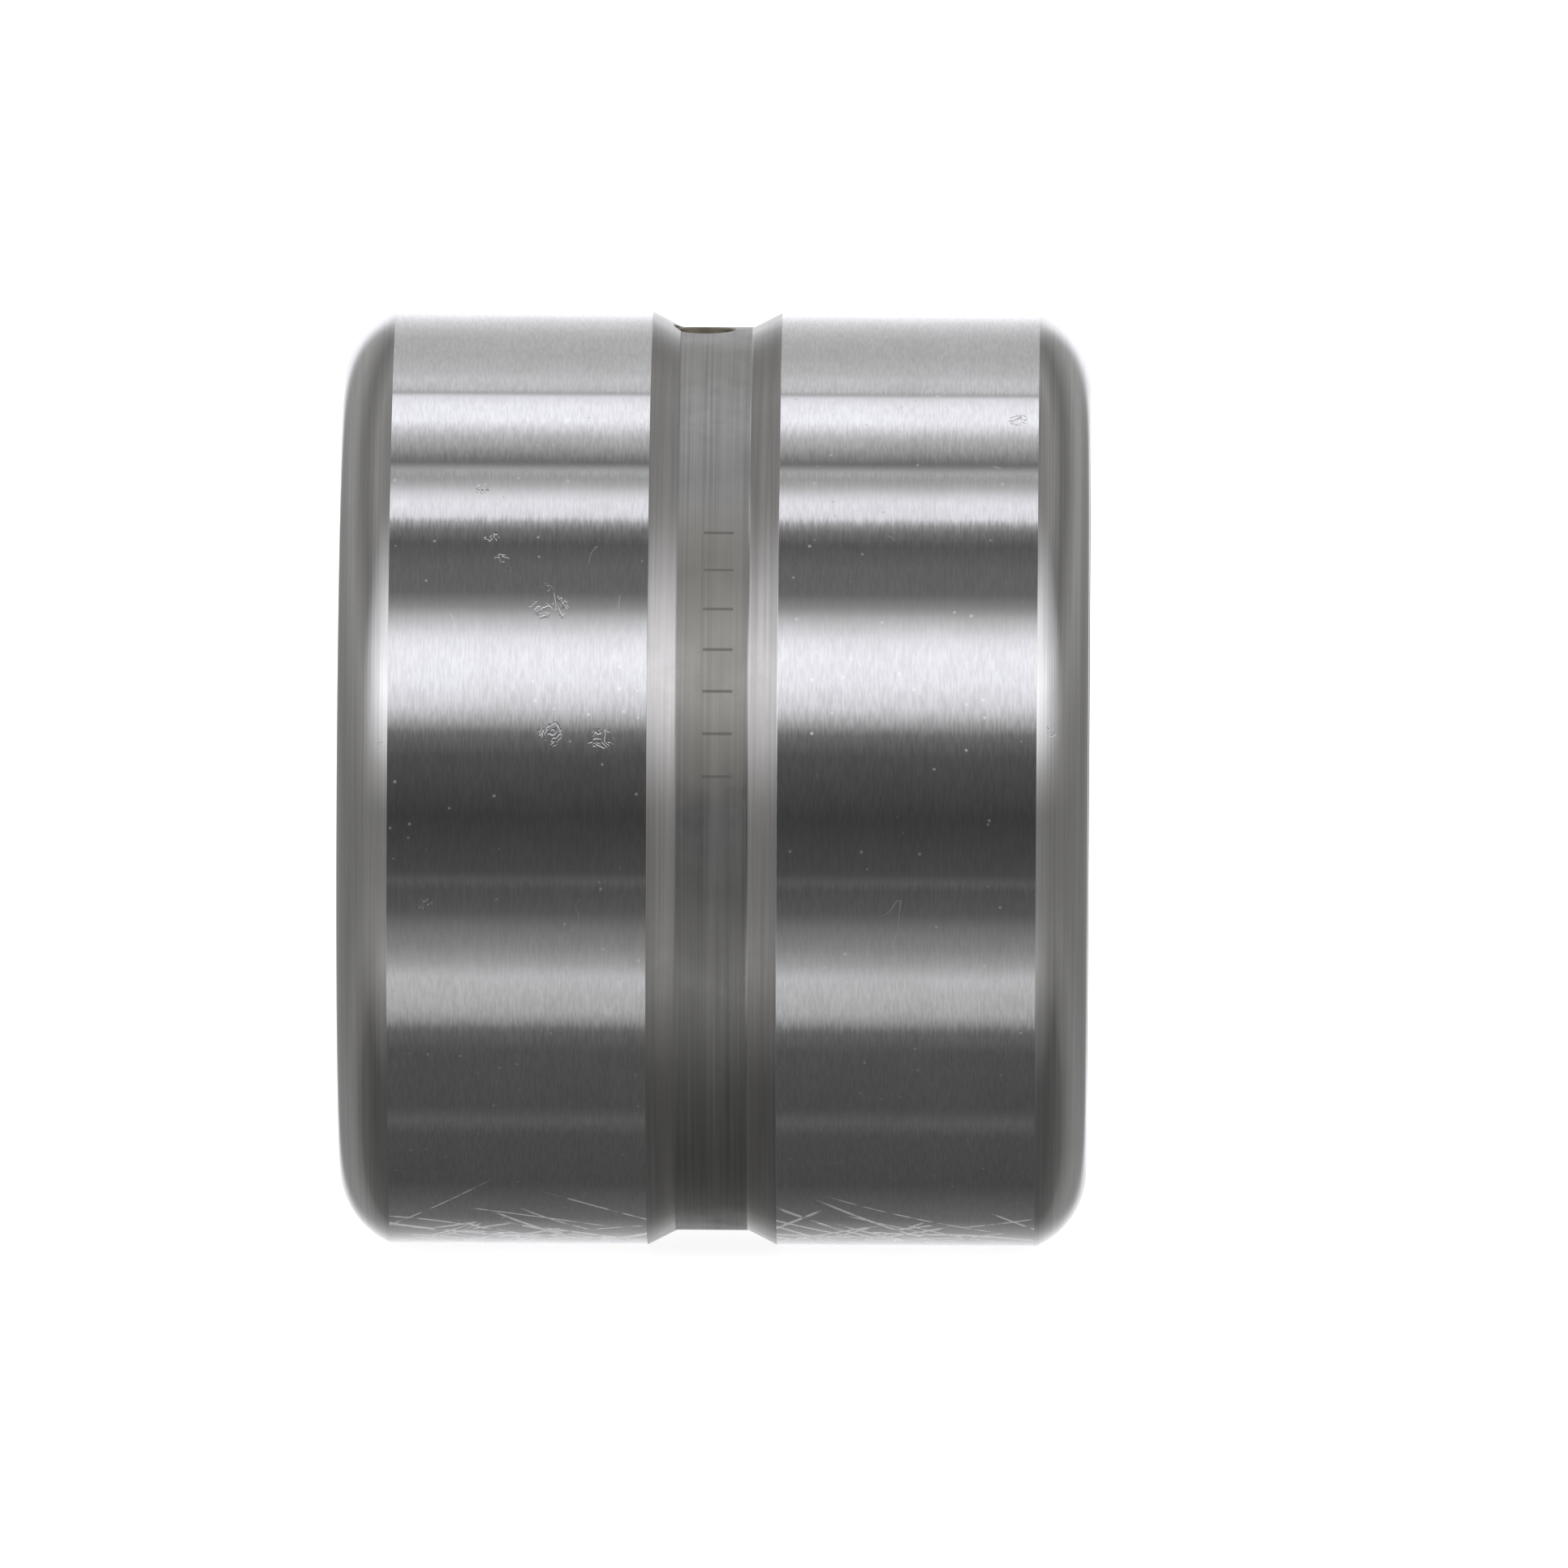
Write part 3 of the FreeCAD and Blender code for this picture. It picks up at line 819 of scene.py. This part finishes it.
def right_half_of_ring():
    """From the groove's middle, over the right face, to the middle of the raceway."""
    land_end = Vector((HALF_WIDTH - CORNER_WIDTH, OUTER_RADIUS))
    face_start = Vector((HALF_WIDTH, OUTER_RADIUS - CORNER_DEPTH))
    centre = Vector((HALF_WIDTH - CORNER_RADIUS, face_start.y))
    corner = arc_points(centre, land_end, face_start, CORNER_STEPS)
    sides = [((0, FLOOR_RADIUS), 0, "groove_floor"),
             ((FLOOR_HALF_WIDTH, FLOOR_RADIUS), 0.2 * MM, "groove_flank"),
             ((GROOVE_HALF_WIDTH, OUTER_RADIUS), 0.06 * MM, "outside"),
             (tuple(land_end), 0.03 * MM, "corner")]
    sides += [(tuple(point), 0, "corner") for point in corner[1:-1]]
    sides += [(tuple(face_start), 0, "face"),
              ((HALF_WIDTH, RIB_BORE + BORE_CHAMFER), 0.05 * MM, "chamfer"),
              ((HALF_WIDTH - BORE_CHAMFER, RIB_BORE), 0.05 * MM, "rib_bore"),
              ((CHANNEL_HALF_WIDTH, RIB_BORE), 0.08 * MM, "rib_side"),
              ((CHANNEL_HALF_WIDTH, RACEWAY_RADIUS), 0.1 * MM, "raceway"),
              ((0, RACEWAY_RADIUS), 0, "raceway")]
    return sides


print("a corner takes", round(CORNER_DEPTH / MM, 3), "mm of the face, the flank",
      round((GROOVE_HALF_WIDTH - FLOOR_HALF_WIDTH) / MM, 3), "mm of the width")

# %% [markdown]
# The left half is the mirror image of the right one, gone through backwards. A cut
# belongs to the side between two points, so going backwards it moves by one point.

# %% Mirror it into a whole section
def whole_ring():
    """The right half and its mirror image, as one closed list of sides."""
    right = right_half_of_ring()
    left = []
    for index in range(len(right) - 2, 0, -1):
        (x, y), radius, _ = right[index]
        left.append(((-x, y), radius, right[index - 1][2]))
    return right + left


ring_section = rounded_section(whole_ring())
print("the ring's section has", len(ring_section), "points")

# %% [markdown]
# The oil hole is drilled with a boolean. The drill is a closed mesh that widens by a
# hair at the groove's floor, which breaks the hole's edge there, and its own material
# passes to the walls that it leaves.

# %% Drill the oil hole
DRILL_STEPS = 128
HOLE_EDGE = 0.06 * MM


def cut_oil_hole(ring):
    """Drill the oil hole through the top wall, with a slightly broken edge."""
    inside_ring = RIB_BORE + 0.5 * MM
    above_ring = OUTER_RADIUS + MM
    wide = OIL_HOLE_RADIUS + HOLE_EDGE
    levels = [(inside_ring, OIL_HOLE_RADIUS), (FLOOR_RADIUS - HOLE_EDGE, OIL_HOLE_RADIUS),
              (FLOOR_RADIUS, wide), (above_ring, wide)]
    points = []
    for height, radius in levels:
        for step in range(DRILL_STEPS):
            angle = TURN * step / DRILL_STEPS
            points.append((OIL_HOLE_X + radius * math.cos(angle), radius * math.sin(angle), height))
    faces = []
    for level in range(len(levels) - 1):
        low, high = level * DRILL_STEPS, (level + 1) * DRILL_STEPS
        for step in range(DRILL_STEPS):
            beside = (step + 1) % DRILL_STEPS
            faces.append((low + step, low + beside, high + beside, high + step))
    faces.append(tuple(range(DRILL_STEPS)))
    faces.append(tuple(range(len(points) - DRILL_STEPS, len(points))))
    drill = new_object("drill", points, faces)
    drill.data.materials.append(HOLE_STEEL)
    cut = ring.modifiers.new("oil_hole", "BOOLEAN")
    cut.object = drill
    cut.operation = "DIFFERENCE"
    cut.solver = "EXACT"
    cut.material_mode = "TRANSFER"
    apply_modifiers(ring)
    bpy.data.objects.remove(drill)


print("oil hole", round(2 * OIL_HOLE_RADIUS / MM, 2), "mm across at", round(OIL_HOLE_X / MM, 2), "mm")

# %% [markdown]
# Each cut of the ring has its own finish. The finished mesh rides on the body that the
# design has for it, stands in for the plain solid there, and keeps its material slot.

# %% Spin, drill and place the ring
RING_STEPS = 360
RING_FINISHES = {"groove_floor": GROOVE, "groove_flank": FLANK, "outside": GROUND, "corner": TURNED,
                 "face": FACE, "chamfer": TURNED, "rib_bore": FACE, "rib_side": FACE, "raceway": HONED}
ring = lathe("outer_ring_turned", ring_section, RING_STEPS, RING_FINISHES)
cut_oil_hole(ring)
smooth_between_edges(ring)
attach(ring, "outer_ring")
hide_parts("outer_ring")
print("ring faces:", len(ring.data.polygons))

# %% [markdown]
# ## The rollers
#
# The rollers are hardened, ground and polished, with rounded edges. Each is its own
# object with its origin on its own axis, so that the tool lines run round the roller
# and turn with it. Their many steps keep the highlight along them smooth.

# %% Spin the rollers
ROLLER_STEPS = 180
ROLLER_EDGE_POINTS = 6


def roller_section():
    """A roller's half section, from the middle of one end to the middle of the other."""
    rim = ROLLER_RADIUS - ROLLER_EDGE_RADIUS
    shoulder = ROLLER_HALF_LENGTH - ROLLER_EDGE_RADIUS
    near_axis = 0.001 * MM
    left = arc_points(Vector((-shoulder, rim)), Vector((-ROLLER_HALF_LENGTH, rim)),
                      Vector((-shoulder, ROLLER_RADIUS)), ROLLER_EDGE_POINTS)
    right = arc_points(Vector((shoulder, rim)), Vector((shoulder, ROLLER_RADIUS)),
                       Vector((ROLLER_HALF_LENGTH, rim)), ROLLER_EDGE_POINTS)
    ends = [Vector((side * ROLLER_HALF_LENGTH, near_axis)) for side in (-1, 1)]
    return [(point, "roller") for point in ends[:1] + left + right + ends[1:]]


def make_roller(name):
    """One roller in its place on its own body."""
    made = lathe(name + "_ground", roller_section(), ROLLER_STEPS, {"roller": ROLLER_STEEL})
    made.location = box_centre(name)
    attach(made, name)
    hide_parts(name)
    return made


rollers = [make_roller(name) for name in ROLLER_NAMES]
print("roller faces:", len(rollers[0].data.polygons))

# %% [markdown]
# ## The cage
#
# The cage is a ring with eighteen pockets. Cutting them with eighteen booleans would
# leave ragged faces that can't be bevelled cleanly, so the cage is laid out as a
# lattice instead: angle by radius by length. A cell of the lattice is filled if it is
# metal, and a face is kept where a filled cell meets an empty one. The result is clean
# four-sided faces everywhere, ready for a bevel.

# %% Lay out one pitch of the cage
POCKET_RADIUS = ROLLER_RADIUS + POCKET_CLEARANCE
LIP_HALF_WIDTH = ROLLER_RADIUS - POCKET_LIP
POCKET_HALF_LENGTH = ROLLER_HALF_LENGTH + POCKET_END_CLEARANCE
PITCH_ANGLE = TURN / ROLLER_COUNT
POCKET_WALL_STEPS = 6
POCKET_CELLS = 6
BAR_CELLS = 4


def pocket_wall():
    """The pocket's side as (half width, height) from the cage's bore to its outside."""
    lip_height = PITCH_RADIUS - math.sqrt(POCKET_RADIUS ** 2 - LIP_HALF_WIDTH ** 2)
    centre = Vector((0, PITCH_RADIUS))
    curve = arc_points(centre, Vector((LIP_HALF_WIDTH, lip_height)),
                       Vector((POCKET_RADIUS, PITCH_RADIUS)), POCKET_WALL_STEPS)
    inner = Vector((LIP_HALF_WIDTH, math.sqrt(CAGE_BORE ** 2 - LIP_HALF_WIDTH ** 2)))
    outer = Vector((POCKET_RADIUS, math.sqrt(CAGE_OUTSIDE ** 2 - POCKET_RADIUS ** 2)))
    return [inner] + curve + [outer]


def cage_lattice():
    """Angles for every level of the wall, and the lengths that divide the cage."""
    levels = []
    for point in pocket_wall():
        wall = math.atan2(point.x, point.y)
        pocket = [wall * (2 * step / POCKET_CELLS - 1) for step in range(POCKET_CELLS + 1)]
        bar = [wall + (PITCH_ANGLE - 2 * wall) * step / BAR_CELLS for step in range(1, BAR_CELLS)]
        levels.append((point.length, pocket + bar))
    lengths = [-CAGE_HALF_WIDTH, -POCKET_HALF_LENGTH, POCKET_HALF_LENGTH, CAGE_HALF_WIDTH]
    return levels, lengths


CAGE_LEVELS, CAGE_LENGTHS = cage_lattice()
CELLS_PER_PITCH = len(CAGE_LEVELS[0][1])
CELLS_AROUND = CELLS_PER_PITCH * ROLLER_COUNT
print("lattice:", CELLS_AROUND, "cells round,", len(CAGE_LEVELS) - 1, "deep,",
      len(CAGE_LENGTHS) - 1, "long")

# %% [markdown]
# A cell is known by its turn round the axis, its level in the wall and its length along
# the cage. A face is the side of a cell that is metal where the next cell is not.

# %% Fill the lattice and keep the faces between metal and air
def cage_points():
    """Every crossing of the lattice, as a point in space."""
    points = []
    for turn in range(CELLS_AROUND):
        pitch, index = divmod(turn, CELLS_PER_PITCH)
        for radius, angles in CAGE_LEVELS:
            angle = pitch * PITCH_ANGLE + angles[index]
            points += [(x, -radius * math.sin(angle), radius * math.cos(angle)) for x in CAGE_LENGTHS]
    return points


def crossing(turn, level, length):
    """The number of the point at one crossing of the lattice."""
    return ((turn % CELLS_AROUND) * len(CAGE_LEVELS) + level) * len(CAGE_LENGTHS) + length


def is_metal(turn, level, length):
    """Whether a cell is metal: the middle length is a pocket wherever it isn't a bar."""
    if not (0 <= level < len(CAGE_LEVELS) - 1 and 0 <= length < len(CAGE_LENGTHS) - 1):
        return False
    return length != 1 or (turn % CELLS_PER_PITCH) >= POCKET_CELLS


def cell_side(cell, axis, side):
    """The four crossings round one side of a cell."""
    first, second = [other for other in range(3) if other != axis]
    loop = []
    for a, b in ((0, 0), (1, 0), (1, 1), (0, 1)):
        place = list(cell)
        place[axis] += side
        place[first] += a
        place[second] += b
        loop.append(crossing(*place))
    return tuple(loop)


def cage_faces():
    """The sides of metal cells that have no metal beside them."""
    faces = []
    for cell in itertools.product(range(CELLS_AROUND), range(len(CAGE_LEVELS) - 1),
                                  range(len(CAGE_LENGTHS) - 1)):
        if not is_metal(*cell):
            continue
        for axis, side in itertools.product(range(3), (0, 1)):
            beside = list(cell)
            beside[axis] += 2 * side - 1
            if not is_metal(*beside):
                faces.append(cell_side(cell, axis, side))
    return faces


print("faces between metal and air:", len(cage_faces()))

# %% [markdown]
# Crossings inside a pocket have no faces and are deleted. A bevel then breaks every
# edge: pierced sheet is tumbled, so none of its edges is left sharp.

# %% Make the cage
CAGE_EDGE = 0.07 * MM


def make_cage():
    """The cage as one mesh with broken edges."""
    made = new_object("cage_pierced", cage_points(), cage_faces())
    shell = bmesh.new()
    shell.from_mesh(made.data)
    bmesh.ops.delete(shell, geom=[vert for vert in shell.verts if not vert.link_faces], context="VERTS")
    shell.to_mesh(made.data)
    shell.free()
    bevel = made.modifiers.new("broken_edges", "BEVEL")
    bevel.width = CAGE_EDGE
    bevel.segments = 3
    bevel.limit_method = "ANGLE"
    bevel.angle_limit = math.radians(40)
    bevel.use_clamp_overlap = True
    apply_modifiers(made)
    made.data.materials.append(CAGE_STEEL)
    smooth_between_edges(made)
    return made


cage = make_cage()
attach(cage, "cage")
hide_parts("cage")
print("cage faces:", len(cage.data.polygons))

# %% [markdown]
# ## Light
#
# Polished steel has almost no colour of its own: it shows its surroundings. So the room
# is lit, not the part. Here the room is the world: soft panels ahead, above and
# overhead, a dimmer one low in front, dark card between them, and a white sweep behind.
# A colour ramp over the angle round the bearing's axis holds them. The sides of the
# room are plainer, and two more ramps over the height above the horizon hold those.
#
# In the lists each pair is an angle in degrees and a brightness. Round the axis, 0 is
# straight ahead, 90 is up and 180 is behind. A ramp takes at most 32 stops, so the
# round of the room is in two parts.

# %% The room's bands of light
ROOM_FRONT = [
    (-180, 1.3), (-159, 0.83), (-147, 0.43), (-135, 0.2), (-114, 0.1), (-93, 0.11), (-88, 0.16),
    (-83, 0.11), (-65, 0.126), (-58.5, 0.2), (-56.5, 0.42), (-53.5, 0.62), (-49, 0.7), (-44, 0.77),
    (-40, 0.51), (-36, 0.36), (-31, 0.26), (-27, 0.147), (-21, 0.117), (-19, 0.16), (-17, 0.1),
    (-3, 0.068), (12, 0.12), (17.5, 0.22), (20.5, 0.6), (24, 1.0), (30, 1.31), (37, 1.4), (41, 1.25),
    (46.5, 0.71), (49, 0.4), (53, 0.2),
]
ROOM_HIGH = [
    (53, 0.2), (60, 0.19), (66.5, 0.14), (70.5, 0.25), (72.6, 0.5), (74.2, 1.15), (78.5, 1.25), (81, 1.03),
    (83.5, 0.67), (86, 0.5), (88.5, 0.62), (91, 0.2), (93.5, 0.35), (97, 0.57), (100, 0.71), (103, 1.04),
    (106, 1.4), (112, 1.34), (115.8, 1.12), (117, 0.49), (118.5, 0.8), (123, 0.86), (127, 0.73),
    (136, 0.63), (146, 0.64), (152, 0.72), (160, 0.89), (171, 1.24), (180, 1.3),
]
HALF_SIDEWAYS = [
    (-90, 0.15), (-80, 0.2), (-70, 0.24), (-60, 0.25), (-53, 0.29), (-50, 0.33), (-45, 0.41), (-40, 0.5),
    (-34, 0.58), (-28, 0.45), (-20, 0.37), (-9, 0.34), (-3, 0.31), (4, 0.55), (7, 0.72), (10, 1.05),
    (13, 1.25), (16, 1.5), (22, 1.95), (27, 1.8), (31, 1.65), (36, 1.5), (41, 1.3), (45, 1.1), (50, 0.8),
    (56, 0.5), (70, 0.4), (90, 0.5),
]
SIDEWAYS = [
    (-90, 0.13), (-50, 0.13), (-35, 0.18), (-32, 0.27), (-26, 0.34), (-22, 0.37), (-14, 0.31), (-4, 0.3),
    (2, 0.37), (8, 0.45), (12.5, 0.5), (19, 0.41), (23.5, 0.34), (28, 0.28), (36, 0.37), (42, 0.5),
    (49, 0.42), (60, 0.34), (90, 0.5),
]
print("bands:", len(ROOM_FRONT) + len(ROOM_HIGH), "round the axis,", len(HALF_SIDEWAYS), "half sideways,",
      len(SIDEWAYS), "at the side")

# %% [markdown]
# The brightest panels are windows, so their light is a little bluer than the rest.

# %% One list of bands as a colour ramp
WINDOW_BLUE = 0.05


def ramp(tree, value, stops):
    """A colour ramp over a value, from the first stop to the last; returns its output."""
    low, high = float(stops[0][0]), float(stops[-1][0])
    share = add_node(tree, "ShaderNodeMapRange", Value=value, n1=low, n2=high).outputs[0]
    made = add_node(tree, "ShaderNodeValToRGB", Fac=share)
    elements = made.color_ramp.elements
    elements.remove(elements[-1])
    for index, (place, light) in enumerate(stops):
        position = (place - low) / (high - low)
        element = elements[0] if index == 0 else elements.new(position)
        element.position = position
        daylight = 1 + WINDOW_BLUE * min(1.0, max(0.0, (light - 0.7) / 0.4))
        element.color = (light, light, light * daylight, 1)
    return made.outputs[0]


# %% [markdown]
# The room is put together by direction: square to the axis it shows the bands, and
# further sideways the sides. Behind the bearing the bands end sooner and form a round
# window, because what stands right behind it is the last thing that a round corner
# mirrors before its outline. Rays from the camera itself see plain white.

# %% Build the room
WINDOW_HEIGHT = 0.06


def build_room():
    """The world: bands of light round the axis, dimmer sides, and white where the camera looks."""
    world = bpy.data.worlds.new("room")
    world.use_nodes = True
    bpy.context.scene.world = world
    tree = world.node_tree
    towards = add_node(tree, "ShaderNodeSeparateXYZ",
                       Vector=tree.nodes.new("ShaderNodeTexCoord").outputs["Generated"])
    height = towards.outputs["Z"]
    behind = towards.outputs["Y"]
    ahead = math_node(tree, "MULTIPLY", behind, -1.0)
    sideways = math_node(tree, "ABSOLUTE", towards.outputs["X"])
    round_angle = math_node(tree, "DEGREES", math_node(tree, "ARCTAN2", height, ahead))
    elevation = math_node(tree, "DEGREES", math_node(tree, "ARCSINE", height))
    middle = mix_colour(tree, math_node(tree, "GREATER_THAN", round_angle, float(ROOM_HIGH[0][0])),
                        ramp(tree, round_angle, ROOM_FRONT), ramp(tree, round_angle, ROOM_HIGH))
    sides = mix_colour(tree, linear_range(tree, ahead, 0.0, 0.45), ramp(tree, elevation, SIDEWAYS),
                       ramp(tree, elevation, HALF_SIDEWAYS))
    front_share = smooth_range(tree, sideways, 0.25, 0.65)
    from_window = math_node(tree, "SUBTRACT", height, WINDOW_HEIGHT)
    square = math_node(tree, "ADD", math_node(tree, "MULTIPLY", sideways, sideways),
                       math_node(tree, "MULTIPLY", from_window, from_window))
    spread = math_node(tree, "SQRT", square)
    back_share = math_node(tree, "MULTIPLY", smooth_range(tree, spread, 0.13, 0.33),
                           smooth_range(tree, sideways, 0.08, 0.28))
    share = mix_colour(tree, smooth_range(tree, behind, -0.15, 0.15), front_share, back_share)
    room = mix_colour(tree, share, middle, sides)
    seen = tree.nodes.new("ShaderNodeLightPath").outputs["Is Camera Ray"]
    tree.links.new(mix_colour(tree, seen, room, (1, 1, 1, 1)), tree.nodes["Background"].inputs["Color"])


build_room()
print("room nodes:", len(bpy.context.scene.world.node_tree.nodes))

# %% [markdown]
# ## Table
#
# The bearing rests on its outside on a white table. The table glows a little, which
# lifts the shadow under the bearing to the pale grey of a light table. It is left out
# of reflections, because the room's low bands already stand for it there.

# %% The white table
TABLE_HALF_SIZE = 3.0
TABLE_GLOW = 0.86
table_corners = [(-1, -1), (1, -1), (1, 1), (-1, 1)]
floor_points = [(x * TABLE_HALF_SIZE, y * TABLE_HALF_SIZE, -OUTER_RADIUS) for x, y in table_corners]
floor = new_object("table", floor_points, [(0, 1, 2, 3)])
table_white = bpy.data.materials.new("table_white")
table_white.use_nodes = True
paper = table_white.node_tree.nodes["Principled BSDF"]
paper.inputs["Base Color"].default_value = (0.9, 0.9, 0.9, 1)
paper.inputs["Roughness"].default_value = 0.7
paper.inputs["Emission Color"].default_value = (1, 1, 1, 1)
paper.inputs["Emission Strength"].default_value = TABLE_GLOW
floor.data.materials.append(table_white)
floor.visible_glossy = False
print("table top at", round(-OUTER_RADIUS / MM, 3), "mm")

# %% [markdown]
# ## Camera
#
# The camera stands far off with a long lens, so that both ends of the bearing are seen
# almost square. It looks slightly down on it and is turned by a trace.

# %% The camera
CAMERA_DISTANCE = 1.6
CAMERA_AZIMUTH = math.radians(0.45)
CAMERA_ELEVATION = math.radians(6.6)
CAMERA_ROLL = math.radians(0.3)
FIELD_WIDTH = 53.4 * MM
AIM_RIGHT = 2.32 * MM
AIM_DOWN = 0.18 * MM

camera = bpy.data.objects.new("camera", bpy.data.cameras.new("camera"))
bpy.context.scene.collection.objects.link(camera)
camera.data.lens = camera.data.sensor_width * CAMERA_DISTANCE / FIELD_WIDTH
camera.data.clip_end = 10
away = Vector((math.sin(CAMERA_AZIMUTH) * math.cos(CAMERA_ELEVATION),
               -math.cos(CAMERA_AZIMUTH) * math.cos(CAMERA_ELEVATION), math.sin(CAMERA_ELEVATION)))
facing = (-away).to_track_quat("-Z", "Y")
right = facing @ Vector((1, 0, 0))
up = facing @ Vector((0, 1, 0))
camera.location = away * CAMERA_DISTANCE + right * AIM_RIGHT - up * AIM_DOWN
camera.rotation_euler = facing.to_euler()
camera.rotation_euler.rotate_axis("Z", CAMERA_ROLL)
bpy.context.scene.camera = camera
bpy.context.scene.view_settings.view_transform = "Standard"
print("lens", round(camera.data.lens), "mm at", CAMERA_DISTANCE, "m")
